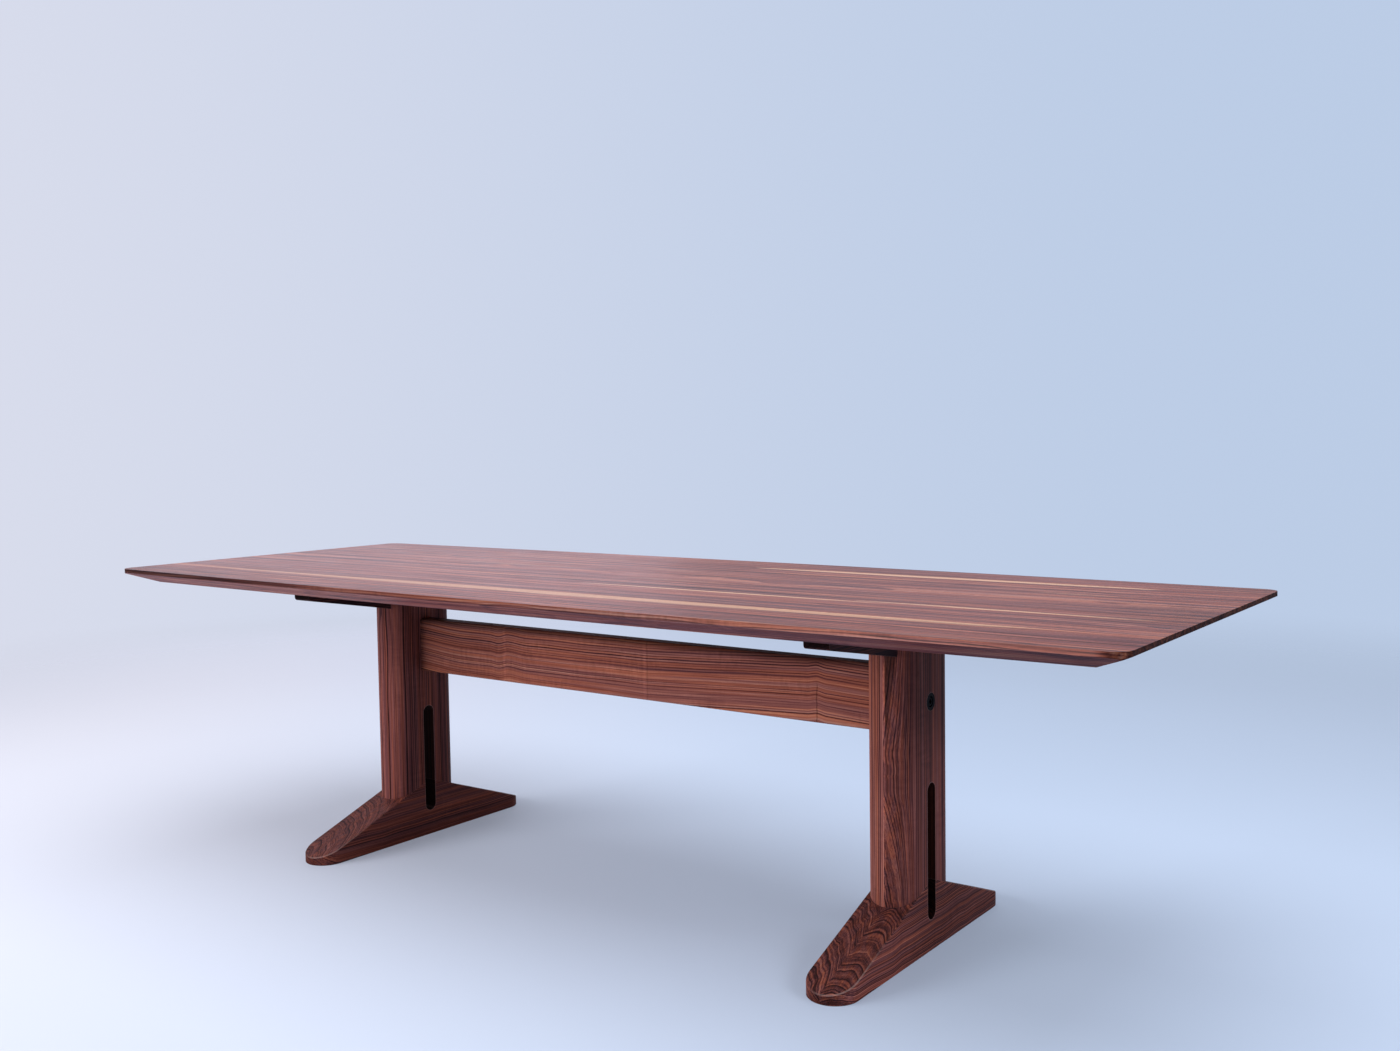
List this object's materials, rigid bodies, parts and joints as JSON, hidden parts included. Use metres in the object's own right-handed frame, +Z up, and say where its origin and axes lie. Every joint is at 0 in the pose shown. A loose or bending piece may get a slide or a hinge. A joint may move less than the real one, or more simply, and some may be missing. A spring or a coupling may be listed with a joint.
{
  "type": "dining table",
  "caption": "Trestle dining table in walnut: bowed top with an underbevelled edge, slotted racetrack posts, sloped feet, tapered cleats and a bolted stretcher.",
  "frame": {"origin": "on the floor, under the middle of the table", "axes": "+X along the table's length, +Y across it, +Z up"},
  "size_m": [2.81, 1.0006, 0.75],
  "materials": {
    "walnut_top": "satin oil",
    "walnut_base": "satin oil",
    "tenon_wood": "sawn, glued in",
    "black_steel": "black oxide, satin",
    "zinc_steel": "zinc plated"
  },
  "bodies": {
    "root": {"top_board_1": "walnut_top", "top_board_2": "walnut_top", "top_board_3": "walnut_top", "top_board_4": "walnut_top", "top_board_5": "walnut_top", "top_board_6": "walnut_top", "top_board_7": "walnut_top", "post_left_outer": "walnut_base", "foot_left_outer": "walnut_base", "post_left_inner": "walnut_base", "foot_left_inner": "walnut_base", "cleat_left": "walnut_base", "foot_tenons_left": "tenon_wood", "bolt_cup_left": "black_steel", "stretcher_bolt_left": "black_steel", "stretcher_nut_left": "zinc_steel", "top_screws_left": "zinc_steel", "top_inserts_left": "zinc_steel", "post_right_outer": "walnut_base", "foot_right_outer": "walnut_base", "post_right_inner": "walnut_base", "foot_right_inner": "walnut_base", "cleat_right": "walnut_base", "foot_tenons_right": "tenon_wood", "bolt_cup_right": "black_steel", "stretcher_bolt_right": "black_steel", "stretcher_nut_right": "zinc_steel", "top_screws_right": "zinc_steel", "top_inserts_right": "zinc_steel", "stretcher": "walnut_base"}
  },
  "joints": []
}
